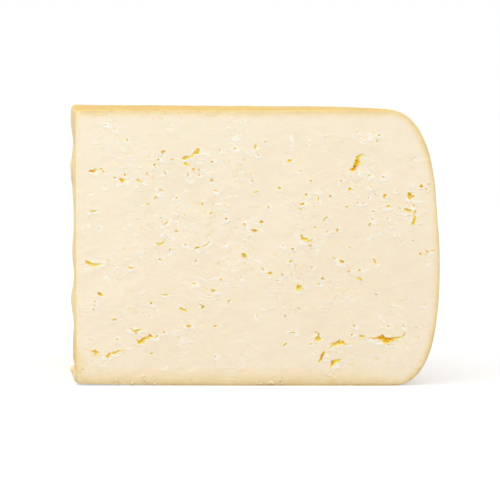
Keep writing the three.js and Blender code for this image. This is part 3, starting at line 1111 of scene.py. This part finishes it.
class Effects:
    """Shader groups that more than one finish uses. Each is made once."""

    BAND = (
        (0.0, (0.84, 0.70, 0.42)),
        (0.2, (0.90, 0.82, 0.60)),
        (0.42, (0.96, 0.91, 0.76)),
        (0.62, (0.985, 0.955, 0.89)),
        (1.0, (1.0, 1.0, 1.0)),
    )
    # Colour of the foot line: partly the rind's edge, partly painted contact shadow.
    FOOT_AND_CONTACT_SHADE = (0.55, 0.36, 0.13, 1.0)
    # Pale colour of smeared paste, also used as painted highlight on lit lips.
    SMEAR_AND_HIGHLIGHT = (0.99, 0.935, 0.80, 1.0)
    STROKE_TILT = (0.0, math.radians(24.0), 0.0)

    def __init__(self) -> None:
        """Makes the groups."""
        self.grain = self.make_grain()
        self.mottle = self.make_mottle()
        self.band = self.make_band_and_shade()
        self.smears_and_highlights = self.make_smears_and_highlights()
        self.scrapes = self.make_scrapes()

    @staticmethod
    def make_grain() -> bpy.types.NodeTree:
        """Makes the fine unevenness.

        Returns:
            The group, which puts out a height in millimetres.
        """
        group = Group(
            "Grain", {"Place": "place", "Fine": "number", "Coarse": "number"}, {"Height": "number"}
        )
        graph = group.graph
        fine = graph.times(graph.noise(group.given["Place"], 0.5), group.given["Fine"])
        coarse = graph.times(graph.noise(group.given["Place"], 2.6, 4.0), group.given["Coarse"])
        group.put("Height", graph.plus(fine, coarse))
        return group.tree

    @staticmethod
    def make_mottle() -> bpy.types.NodeTree:
        """Makes the slow and quick changes of tone.

        Returns:
            The group, which puts out the changed colour.
        """
        group = Group(
            "Mottle",
            {"Colour": "colour", "Place": "place", "Tone": "colour", "Amount": "number"},
            {"Colour": "colour"},
        )
        graph = group.graph
        slow = graph.noise(group.given["Place"], 16.0, 2.0)
        quick = graph.noise(group.given["Place"], 3.0, 4.0)
        both = graph.plus(graph.times(slow, 0.6), graph.times(quick, 0.4))
        share = graph.times(graph.span(both, 0.35, 0.68, 0.0, 1.0), group.given["Amount"])
        group.put("Colour", graph.blend(share, group.given["Colour"], group.given["Tone"]))
        return group.tree

    def make_band_and_shade(self) -> bpy.types.NodeTree:
        """Makes the deeper paste under the rind and the darker line at the foot, partly painted shade: the
        band is widened near the floor and deepened at the top edge by painted shade, and the foot line is
        partly painted contact shadow.

        Returns:
            The group, which puts out the changed colour.
        """
        group = Group(
            "Rind Band And Shade",
            {"Colour": "colour", "Place": "place", "Depth": "number"},
            {"Colour": "colour"},
        )
        graph = group.graph
        place = group.given["Place"]
        parts = graph.add("ShaderNodeSeparateXYZ", {0: place}).outputs
        low = graph.span(parts[2], 4.0, 14.0, 1.0, 0.0)
        flat = graph.add("ShaderNodeVectorMath", {0: place, 1: Cheese.AXIS}, operation="SUBTRACT")
        level_less = {0: flat.outputs[0], 1: (1.0, 1.0, 0.0)}
        radial = graph.add("ShaderNodeVectorMath", level_less, operation="MULTIPLY")
        radius = graph.add("ShaderNodeVectorMath", {0: radial.outputs[0]}, operation="LENGTH").outputs[1]
        inner = graph.span(radius, 80.0, 98.0, 1.0, 0.0)
        # Painted shade: the band widens near the floor, inside the rim.
        wider = graph.times(graph.times(low, inner), 3.6)
        reach = graph.plus(wider, graph.span(parts[2], 62.0, 76.0, 2.3, 2.6))
        ragged = graph.less(graph.noise(place, 1.8, 4.0), 0.5)
        slow = graph.less(graph.noise(place, 9.0, 2.0), 0.5)
        shift = graph.plus(graph.times(ragged, 1.3), graph.times(slow, 1.2))
        # Painted shade: the band deepens along the top edge, damping the lit rounded edge.
        inner_edge = graph.less(group.given["Depth"], graph.span(parts[2], 70.0, 78.0, 0.0, 0.28))
        depth = graph.plus(inner_edge, graph.times(shift, 0.8))
        share = graph.reckon("DIVIDE", depth, reach)
        banded = graph.blend(1.0, group.given["Colour"], graph.ramp(share, self.BAND), "MULTIPLY")
        # The dark foot line is partly the rind's contact line and partly painted contact shadow.
        foot = graph.times(graph.span(parts[2], 0.2, 0.8, 1.0, 0.0), graph.noise(place, 7.0, 3.0))
        group.put("Colour", graph.blend(foot, banded, self.FOOT_AND_CONTACT_SHADE))
        return group.tree

    def make_smears_and_highlights(self) -> bpy.types.NodeTree:
        """Makes the whiter, rougher paste that the knife dragged, with painted highlight on the lips that
        catch the light.

        Returns:
            The group, which puts out the changed colour and a height in millimetres.
        """
        group = Group(
            "SmearsAndHighlights",
            {"Colour": "colour", "Place": "place", "SmearAndHighlight": "number"},
            {"Colour": "colour", "Height": "number"},
        )
        graph = group.graph
        drawn = {"Vector": group.given["Place"], "Rotation": self.STROKE_TILT, "Scale": (0.45, 0.45, 1.0)}
        stroked = graph.add("ShaderNodeMapping", drawn).outputs[0]
        broken = graph.span(graph.noise(stroked, 0.8, 4.0), 0.42, 0.62, 0.05, 1.4)
        share = graph.times(group.given["SmearAndHighlight"], broken)
        mask = graph.span(share, 0.1, 0.5, 0.0, 1.0)
        # The pale colour is partly dragged paste and partly painted highlight.
        white = graph.times(mask, 0.85)
        group.put("Colour", graph.blend(white, group.given["Colour"], self.SMEAR_AND_HIGHLIGHT))
        lumps = graph.noise(group.given["Place"], 0.8, 3.0)
        group.put("Height", graph.times(mask, graph.times(lumps, 0.12)))
        return group.tree

    def make_scrapes(self) -> bpy.types.NodeTree:
        """Makes the faint bent strokes of a knife, with ridges made pale as painted highlight and golden
        flecks in patches.

        Returns:
            The group, which puts out the share of lit ridge and of fleck, and a height in millimetres.
        """
        group = Group(
            "Scrapes", {"Place": "place"}, {"LitRidge": "number", "Tear": "number", "Height": "number"}
        )
        graph = group.graph
        place = group.given["Place"]
        bend = graph.add("ShaderNodeTexNoise", {"Vector": place, "Scale": 0.11, "Detail": 1.0}).outputs[1]
        pushed = {0: bend, 1: (9.0, 9.0, 9.0), 2: place}
        bent = graph.add("ShaderNodeVectorMath", pushed, operation="MULTIPLY_ADD").outputs[0]
        turned = {"Vector": bent, "Rotation": self.STROKE_TILT, "Scale": (0.26, 0.26, 1.0)}
        stroke = graph.noise(graph.add("ShaderNodeMapping", turned).outputs[0], 0.9, 3.0)
        fleck = graph.noise(place, 1.0, 2.0)
        here = graph.span(graph.noise(place, 8.0, 2.0), 0.46, 0.62, 0.0, 1.0)
        # Painted highlight: the ridges of the strokes are made pale, as if lit.
        lit_ridge = graph.times(graph.span(stroke, 0.54, 0.7, 0.0, 1.0), here)
        tear = graph.times(graph.span(fleck, 0.6, 0.7, 0.0, 1.0), here)
        group.put("LitRidge", lit_ridge)
        group.put("Tear", tear)
        lines = graph.less(graph.times(lit_ridge, 0.05), graph.times(tear, 0.08))
        group.put("Height", graph.plus(lines, graph.times(stroke, 0.05)))
        return group.tree


class Bench(NamedTuple):
    """What a finish works with: the material's nodes, the shared groups and the place in millimetres."""

    graph: Graph
    effects: Effects
    place: Socket

    def group(self, tree: bpy.types.NodeTree, inputs: dict) -> bpy.types.Node:
        """Adds a shared group, read at the place, with a value or a socket for each other input."""
        return self.graph.add("ShaderNodeGroup", {"Place": self.place, **inputs}, node_tree=tree)

    def reading(self, name: str) -> Socket:
        """Reads a value that the mesh holds, by its name."""
        return self.graph.add("ShaderNodeAttribute", attribute_name=name).outputs["Fac"]

    def noise(self, length: float, detail: float = 3.0) -> Socket:
        """Reads a noise at the place."""
        return self.graph.noise(self.place, length, detail)


@dataclass(frozen=True)
class Finish:
    """What all finishes share: the tone that varies and the shader's own values."""

    name: str
    colour: Colour
    tone: Colour
    mottle: float
    fine: float
    coarse: float
    roughness: float
    subsurface: float = 0.35
    scatter: float = 2.0
    specular: float = 0.4

    SCATTERED = (1.0, 0.72, 0.42)

    def material(self, effects: Effects) -> bpy.types.Material:
        """Makes the material.

        Args:
            effects: The shared shader groups.

        Returns:
            The material.
        """
        made = bpy.data.materials.new(self.name)
        made.use_nodes = True
        tree = made.node_tree
        tree.nodes.clear()
        graph = Graph(tree)
        spot = graph.add("ShaderNodeTexCoord").outputs["Object"]
        scaled = graph.add("ShaderNodeVectorMath", {0: spot, "Scale": 1.0 / MM}, operation="SCALE")
        bench = Bench(graph, effects, scaled.outputs[0])
        colour, height = self.dressed(bench, self.mottled(bench))
        bump = graph.add("ShaderNodeBump", {"Strength": 1.0, "Distance": MM, "Height": height})
        shader = graph.add("ShaderNodeBsdfPrincipled", {
            "Base Color": colour,
            "Roughness": self.roughness,
            "Specular IOR Level": self.specular,
            "Subsurface Weight": self.subsurface,
            "Subsurface Radius": self.SCATTERED,
            "Subsurface Scale": self.scatter * MM,
            "Normal": bump.outputs[0],
        })
        graph.add("ShaderNodeOutputMaterial", {"Surface": shader.outputs[0]})
        return made

    def mottled(self, bench: Bench) -> Socket:
        """Gives the finish's colour, varied by its tone."""
        inputs = {"Colour": (*self.colour, 1.0), "Tone": (*self.tone, 1.0), "Amount": self.mottle}
        return bench.group(bench.effects.mottle, inputs).outputs["Colour"]

    def grained(self, bench: Bench) -> Socket:
        """Gives the height of the fine unevenness in millimetres."""
        return bench.group(bench.effects.grain, {"Fine": self.fine, "Coarse": self.coarse}).outputs["Height"]

    def dressed(self, bench: Bench, base: Socket) -> tuple[Socket, Socket]:
        """Gives the colour with the finish's own marks, and the height in millimetres."""
        return base, self.grained(bench)


@dataclass(frozen=True)
class CutPaste(Finish):
    """Paste as the knife left it, with painted light and painted highlight."""

    torn: Colour = (0.97, 0.76, 0.36)
    # Painted light: the tint at the top left, where the light falls strongest, and the warmer tint at the
    # bottom right.
    high: Colour = (0.99, 0.995, 1.005)
    low: Colour = (0.995, 0.975, 0.975)
    # Painted highlight: the pale colour of the lit ridges.
    lit_ridge: Colour = (0.98, 0.94, 0.84)

    def dressed(self, bench: Bench, base: Socket) -> tuple[Socket, Socket]:
        """Adds smears with painted highlight, scrapes with painted highlight on their ridges, painted light
        that pales the paste towards the top left, and the deeper band under the rind with its painted shade.

        Args:
            bench: What the finish works with.
            base: The varied colour.

        Returns:
            The colour, and the height in millimetres.
        """
        graph, effects = bench.graph, bench.effects
        smeared = bench.group(effects.smears_and_highlights, {"Colour": base, "SmearAndHighlight": bench.reading("smear_and_highlight")})
        depth = bench.reading("rind_depth")
        scraped = bench.group(effects.scrapes, {})
        pale = graph.times(scraped.outputs["LitRidge"], 0.7)
        ridged = graph.blend(pale, smeared.outputs["Colour"], (*self.lit_ridge, 1.0))
        torn = graph.blend(graph.times(scraped.outputs["Tear"], 0.75), ridged, (*self.torn, 1.0))
        # Painted light: the paste is a little less red towards the top left and warmer towards the bottom
        # right.
        parts = graph.add("ShaderNodeSeparateXYZ", {0: bench.place}).outputs
        slope = graph.less(graph.times(parts[0], 0.3), parts[2])
        painted_light_drift = graph.blend(graph.span(slope, -90.0, -20.0, 0.0, 1.0), (*self.high, 1.0), (*self.low, 1.0))
        paste = graph.blend(1.0, torn, painted_light_drift, "MULTIPLY")
        banded = bench.group(effects.band, {"Colour": paste, "Depth": depth})
        height = graph.plus(self.grained(bench), smeared.outputs["Height"])
        return banded.outputs["Colour"], graph.plus(height, scraped.outputs["Height"])


@dataclass(frozen=True)
class Rind(Finish):
    """The dry skin of the wheel, with paler clouds, darker freckles and fine pits."""

    freckle: Colour = (0.50, 0.28, 0.03)
    cloud: Colour = (0.78, 0.56, 0.17)

    def dressed(self, bench: Bench, base: Socket) -> tuple[Socket, Socket]:
        """Adds the clouds, the freckles and the pits.

        Args:
            bench: What the finish works with.
            base: The varied colour.

        Returns:
            The colour, and the height in millimetres.
        """
        graph = bench.graph
        clouds = graph.span(bench.noise(7.0, 4.0), 0.48, 0.66, 0.0, 0.4)
        clouded = graph.blend(clouds, base, (*self.cloud, 1.0))
        specks = bench.noise(1.6)
        freckles = graph.span(specks, 0.57, 0.72, 0.0, 0.45)
        pits = graph.span(specks, 0.57, 0.68, 0.0, -0.09)
        return graph.blend(freckles, clouded, (*self.freckle, 1.0)), graph.plus(self.grained(bench), pits)


@dataclass(frozen=True)
class OpeningWall(Finish):
    """The glossy inside of an opening, paste at its mouth and golden further in: painted light scattered
    through the paste, turning orange deeper in as painted shade.
    """

    gold: Colour = (1.0, 0.77, 0.14)
    deepest: Colour = (0.98, 0.59, 0.02)

    def dressed(self, bench: Bench, base: Socket) -> tuple[Socket, Socket]:
        """Deepens the colour with the depth of the opening, as painted scattered light and shade.

        Args:
            bench: What the finish works with.
            base: The varied colour.

        Returns:
            The colour, and the height in millimetres.
        """
        graph = bench.graph
        patchy = graph.times(graph.less(bench.noise(0.9), 0.5), 0.5)
        depth = graph.plus(bench.reading("pit_depth"), patchy)
        # Painted scattered light and shade: golden past the mouth, orange furthest in.
        golden = graph.blend(graph.span(depth, 0.0, 0.2, 0.0, 1.0), base, (*self.gold, 1.0))
        deep = graph.blend(graph.span(depth, 0.35, 0.8, 0.0, 1.0), golden, (*self.deepest, 1.0))
        return deep, self.grained(bench)


class Cheese:
    """The piece of cheese: one closed body, opened and finished."""

    NAME = "pecorino_wedge"
    AXIS = (-49.089, -52.537, 0.0)
    SHARP = math.radians(42.0)
    OFF_SURFACE = 0.02
    SIDE_TINT_DEPTH = 1.05
    SIDE_TINT_RISE = 1.0
    CRUMB_DEPTH = 2.0
    CRUMBS = 30
    CRUMB_CLUSTER = (57.5, 3.0)
    CRUMB_TRAIL = (11.0, 24.0)
    CRUMB_HALF = (0.15, 0.36)
    CRUMB_LEVEL = 0.8
    NEAR_SPECKS = Scatter(cracks=0, pores=62, pore_length=0.55, seed=3, clear=1.6, margin=1.5, spots=(
        (10.7, 68.9), (4.8, 50.3), (25.8, 47.8), (29.5, 42.9), (30.1, 55.9), (46.3, 71.8), (18.0, 61.0),
        (85.4, 57.9), (93.2, 43.5), (90.0, 53.0), (62.0, 38.0), (20.0, 24.0), (97.5, 45.5),
    ))
    FAR_SCATTER = Scatter(cracks=26, pores=70, pore_length=1.0, seed=9)
    NEAR_SEED = 17
    FAR_SEED = 19
    CRUMB_SEED = 31
    SMEAR_REACH = 1.5

    def __init__(self) -> None:
        """Sets out the wheel, its cuts and how it is worn."""
        self.wheel = Wheel()
        self.skin = Skin(self.wheel)
        self.near = CutFace(Side.NEAR, 0.0)
        self.far = CutFace(Side.FAR, self.wheel.sector)
        self.wear = Wear(self.wheel, self.skin, self.near, self.far)
        self.near_openings = [*NEAR_OPENINGS, *self.NEAR_SPECKS.openings(self.wheel, NEAR_OPENINGS)]
        self.far_openings = self.FAR_SCATTER.openings(self.wheel, ())

    def build(self, effects: Effects) -> bpy.types.Object:
        """Builds and dresses the piece.

        Args:
            effects: The shared shader groups.

        Returns:
            The piece.
        """
        shell = self.make_shell()
        piece = bpy.data.objects.new(self.NAME, shell)
        bpy.context.scene.collection.objects.link(piece)
        surface, regions = self.surface_of(shell)
        for mesh in layers([lump.body() for lump in self.lumps()]):
            self.join(piece, mesh, "UNION")
        for mesh in layers(self.cutters(surface)):
            self.join(piece, mesh, "DIFFERENCE")
        piece.data.materials.clear()
        for finish in self.finishes():
            piece.data.materials.append(finish.material(effects))
        self.measure(piece.data, surface, regions)
        self.move(piece.data)
        return piece

    def make_shell(self) -> bpy.types.Mesh:
        """Builds the worn quarter before it is opened.

        Returns:
            The mesh, in metres from the wheel's axis.
        """
        grid = BoxGrid().made()
        box = np.array([vert.co for vert in grid.verts])
        points = self.wheel.place(box)
        worn = self.wear.worn(points, self.smear_and_highlight_at(points)) * MM
        for vert, place in zip(grid.verts, worn):
            vert.co = place
        for face in grid.faces:
            middle = box[[vert.index for vert in face.verts]].mean(axis=0)
            face.material_index = self.region_of(middle).value
        mesh = bpy.data.meshes.new("shell")
        grid.to_mesh(mesh)
        grid.free()
        return mesh

    @staticmethod
    def region_of(middle: np.ndarray) -> Region:
        """Gives the region that a place on the unit box becomes."""
        elsewhere = Region.FAR_CUT if middle[0] < NEARLY_ZERO else Region.RIND
        return Region.NEAR_CUT if middle[1] < NEARLY_ZERO else elsewhere

    def smear_and_highlight_at(self, points: np.ndarray) -> np.ndarray:
        """Gives how much pale paste there is, smeared and painted as lit: in named patches, and round each
        opening.

        Args:
            points: Places in the wheel, one a row.

        Returns:
            The share at each place, 0 to 1.
        """
        total = np.zeros(len(points))
        for face, smears_and_highlights, openings in (
            (self.near, NEAR_SMEARS_AND_HIGHLIGHTS, self.near_openings),
            (self.far, (), self.far_openings),
        ):
            flat = face.flat(points)
            close = np.abs(flat[:, 1]) < self.SMEAR_REACH
            spots = flat[close][:, (0, 2)]
            share = np.zeros(len(spots))
            for smear_and_highlight in (*smears_and_highlights, *map(self.lit_lip_of, openings)):
                share = np.maximum(share, smear_and_highlight.at(spots))
            total[close] = np.maximum(total[close], share)
        return np.clip(total, 0.0, 1.0)

    @staticmethod
    def lit_lip_of(opening: Opening) -> SmearAndHighlight:
        """Gives the pale lip round an opening: smeared paste, with painted highlight where the lip catches
        the light.

        Args:
            opening: The opening.

        Returns:
            The patch.
        """
        path = np.array(opening.path)
        run, climb = path[-1] - path[0]
        long = math.hypot(run, climb)
        along, up = path.mean(axis=0)
        tilt = math.degrees(math.atan2(climb, run))
        wide = 0.4 * opening.wide + 0.6
        # The lips differ in strength by a rule, and lie a little below and to the right of their openings,
        # where a lower lip catches the light from the upper left: painted highlight.
        share = 0.5 + 0.5 * abs(math.sin(57.0 * along + 31.0 * up))
        return SmearAndHighlight(along + 0.25, up - 0.3 - 0.2 * opening.wide, 0.5 * long + 0.7, wide, tilt, share)

    @staticmethod
    def surface_of(mesh: bpy.types.Mesh) -> tuple[BVHTree, np.ndarray]:
        """Makes a search tree of a mesh.

        Args:
            mesh: The mesh.

        Returns:
            The tree, and the material's place of each of its faces.
        """
        points = [vert.co for vert in mesh.vertices]
        faces = [tuple(face.vertices) for face in mesh.polygons]
        regions = np.array([face.material_index for face in mesh.polygons])
        return BVHTree.FromPolygons(points, faces), regions

    def lumps(self) -> list[Lump]:
        """Sets out the torn flap at the foot of the tip and the crumbs along the foot of the near cut.

        Returns:
            The lumps.
        """
        flap = [
            Lump((-0.8, 0.9, 4.4), (0.95, 1.2, 1.5), -14.0, 4),
            Lump((-0.3, 0.85, 3.1), (0.95, 1.1, 2.2), -12.0, 6),
        ]
        draw = np.random.default_rng(self.CRUMB_SEED)
        crumbs = []
        for index in range(self.CRUMBS):
            along = draw.normal(*self.CRUMB_CLUSTER) if index % 2 else draw.uniform(*self.CRUMB_TRAIL)
            half = draw.uniform(*self.CRUMB_HALF)
            up = half * 0.8 + draw.exponential(self.CRUMB_LEVEL)
            halves = tuple(half * draw.uniform(0.8, 1.3, 3))
            crumbs.append(Lump((along, -0.3 * half, up), halves, 0.0, 100 + index))
        return flap + crumbs

    def cutters(self, surface: BVHTree) -> list[Body]:
        """Builds the bodies that the openings take away.

        Args:
            surface: The cheese before it is opened.

        Returns:
            The bodies.
        """
        near = Cutter(self.near, surface, self.NEAR_SEED)
        far = Cutter(self.far, surface, self.FAR_SEED)
        bodies = [near.body(opening) for opening in self.near_openings]
        return bodies + [far.body(opening) for opening in self.far_openings]

    @staticmethod
    def join(piece: bpy.types.Object, mesh: bpy.types.Mesh, operation: str) -> None:
        """Adds a mesh to the piece or takes it away.

        Args:
            piece: The piece.
            mesh: The other mesh.
            operation: UNION or DIFFERENCE.
        """
        other = bpy.data.objects.new("other", mesh)
        bpy.context.scene.collection.objects.link(other)
        modifier = piece.modifiers.new("join", "BOOLEAN")
        modifier.object = other
        modifier.operation = operation
        modifier.solver = "MANIFOLD"
        graph = bpy.context.evaluated_depsgraph_get()
        made = bpy.data.meshes.new_from_object(piece.evaluated_get(graph))
        LOG.info("%s: %d and %d faces made %d", operation, len(piece.data.polygons), len(mesh.polygons),
                 len(made.polygons))
        piece.modifiers.clear()
        before = piece.data
        piece.data = made
        bpy.data.objects.remove(other)
        bpy.data.meshes.remove(mesh)
        bpy.data.meshes.remove(before)

    def measure(self, mesh: bpy.types.Mesh, surface: BVHTree, regions: np.ndarray) -> None:
        """Gives each face its region, and each point what its finish reads.

        Args:
            mesh: The opened piece.
            surface: The cheese before it was opened.
            regions: The region of each face of that surface.
        """
        points = np.array([vert.co for vert in mesh.vertices]) / MM
        # The paste at the side cut takes the band's tint, strongest at that face and fading away from it.
        side_tint_depth = self.SIDE_TINT_DEPTH + self.SIDE_TINT_RISE * np.maximum(self.far.flat(points)[:, 1], 0.0)
        depth = np.minimum(self.skin.under(points)[0], side_tint_depth)
        pit = np.array([surface.find_nearest(vert.co)[3] for vert in mesh.vertices]) / MM
        smear_and_highlight = self.smear_and_highlight_at(points)
        crumb = self.stands_out(mesh, surface)
        depth[crumb] = self.CRUMB_DEPTH
        smear_and_highlight[crumb] = 1.0
        for face in mesh.polygons:
            spot, normal, index, off = surface.find_nearest(face.center)
            inside = (face.center - spot).dot(normal) < 0.0
            region = regions[index]
            if off > self.OFF_SURFACE * MM:
                region = Region.WALL.value if inside else Region.NEAR_CUT.value
            face.material_index = int(region)
        for name, values in (("rind_depth", depth), ("pit_depth", pit), ("smear_and_highlight", smear_and_highlight)):
            attribute = mesh.attributes.new(name, "FLOAT", "POINT")
            attribute.data.foreach_set("value", values.astype(np.float32))
        mesh.shade_smooth()
        mesh.set_sharp_from_angle(angle=self.SHARP)

    def stands_out(self, mesh: bpy.types.Mesh, surface: BVHTree) -> np.ndarray:
        """Finds the points of a mesh that stand out of the cheese.

        Args:
            mesh: The opened piece.
            surface: The cheese before it was opened.

        Returns:
            True for each point that does.
        """
        out = []
        for vert in mesh.vertices:
            spot, normal, _, off = surface.find_nearest(vert.co)
            out.append(off > self.OFF_SURFACE * MM and (vert.co - spot).dot(normal) > 0.0)
        return np.array(out)

    def move(self, mesh: bpy.types.Mesh) -> None:
        """Moves the mesh from the wheel's axis to its place in the frame.

        Args:
            mesh: The mesh.
        """
        offset = np.array(self.AXIS) * MM
        for vert in mesh.vertices:
            vert.co = np.array(vert.co) + offset

    @staticmethod
    def finishes() -> tuple[Finish, ...]:
        """Sets out the finishes in the order of the regions.

        Returns:
            The finishes.
        """
        return (
            CutPaste("near_cut", (0.92, 0.812, 0.612), (0.95, 0.855, 0.675), 0.55, 0.05, 0.14, 0.5),
            CutPaste("side_cut", (0.92, 0.72, 0.37), (0.94, 0.77, 0.45), 0.6, 0.05, 0.2, 0.55),
            Rind("rind", (0.68, 0.415, 0.055), (0.72, 0.48, 0.095), 0.8, 0.05, 0.2, 0.5, 0.25, 1.2, 0.3),
            OpeningWall("opening_wall", (0.95, 0.83, 0.60), (0.97, 0.80, 0.44), 0.8, 0.05, 0.1, 0.4, 0.8,
                        1.8, 0.4),
        )


@dataclass(frozen=True)
class Studio:
    """The pale floor, the soft light and the camera."""

    eye: Place = (1.311, -952.54, 95.3)
    aim: Place = (1.311, -52.54, 39.44)
    lens: float = 224.3
    sensor: float = 36.0
    floor_half: float = 6.0
    floor_colour: Colour = (0.48, 0.48, 0.48)
    floor_glow: float = 0.53
    ambient: float = 1.0
    key_energy: float = 4.6
    key_size: float = 1.2
    key_from: Place = (-400.0, -600.0, 700.0)

    def build(self) -> None:
        """Builds the studio."""
        self.make_floor()
        self.make_world()
        self.make_key()
        self.make_camera()

    def make_floor(self) -> None:
        """Lays the floor under the cheese."""
        half = self.floor_half
        mesh = bpy.data.meshes.new("floor")
        mesh.from_pydata([(-half, -half, 0.0), (half, -half, 0.0), (half, half, 0.0), (-half, half, 0.0)], [],
                         [(0, 1, 2, 3)])
        floor = bpy.data.objects.new("floor", mesh)
        bpy.context.scene.collection.objects.link(floor)
        material = bpy.data.materials.new("floor")
        material.use_nodes = True
        tree = material.node_tree
        tree.nodes.clear()
        graph = Graph(tree)
        seen = graph.add("ShaderNodeLightPath").outputs["Is Camera Ray"]
        glow = graph.add("ShaderNodeEmission", {"Strength": graph.times(seen, self.floor_glow)})
        plain = graph.add("ShaderNodeBsdfDiffuse", {"Color": (*self.floor_colour, 1.0)})
        both = graph.add("ShaderNodeAddShader", {0: plain.outputs[0], 1: glow.outputs[0]})
        graph.add("ShaderNodeOutputMaterial", {"Surface": both.outputs[0]})
        mesh.materials.append(material)

    def make_world(self) -> None:
        """Makes the world white to the camera and a soft light to the rest."""
        world = bpy.data.worlds.new("studio")
        world.use_nodes = True
        tree = world.node_tree
        tree.nodes.clear()
        graph = Graph(tree)
        seen = graph.add("ShaderNodeLightPath").outputs["Is Camera Ray"]
        soft = graph.add("ShaderNodeBackground", {"Color": (1.0, 1.0, 1.0, 1.0), "Strength": self.ambient})
        white = graph.add("ShaderNodeBackground", {"Color": (1.0, 1.0, 1.0, 1.0), "Strength": 1.0})
        both = graph.add("ShaderNodeMixShader", {0: seen, 1: soft.outputs[0], 2: white.outputs[0]})
        graph.add("ShaderNodeOutputWorld", {"Surface": both.outputs[0]})
        bpy.context.scene.world = world

    def make_key(self) -> None:
        """Hangs the large soft light over the tip."""
        lamp = bpy.data.lights.new("key", "AREA")
        lamp.shape = "DISK"
        lamp.energy = self.key_energy
        lamp.size = self.key_size
        key = bpy.data.objects.new("key", lamp)
        key.location = Vector(self.key_from) * MM
        key.rotation_euler = key.location.to_track_quat("Z", "Y").to_euler()
        bpy.context.scene.collection.objects.link(key)

    def make_camera(self) -> None:
        """Sets the camera where the photo was taken from."""
        data = bpy.data.cameras.new("camera")
        data.lens = self.lens
        data.sensor_width = self.sensor
        data.clip_start = 0.01
        data.clip_end = 50.0
        camera = bpy.data.objects.new("camera", data)
        eye, aim = Vector(self.eye) * MM, Vector(self.aim) * MM
        camera.location = eye
        camera.rotation_euler = (aim - eye).to_track_quat("-Z", "Y").to_euler()
        bpy.context.scene.collection.objects.link(camera)
        bpy.context.scene.camera = camera
        bpy.context.scene.view_settings.view_transform = "Standard"


def main() -> None:
    """Builds the piece and its studio."""
    logging.basicConfig(level=logging.INFO, format="%(name)s: %(message)s")
    piece = Cheese().build(Effects())
    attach(piece, BODY)
    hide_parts(NODE)
    LOG.info("%s: %d points, %d faces", piece.name, len(piece.data.vertices), len(piece.data.polygons))
    Studio().build()


if __name__ == "__main__":
    main()
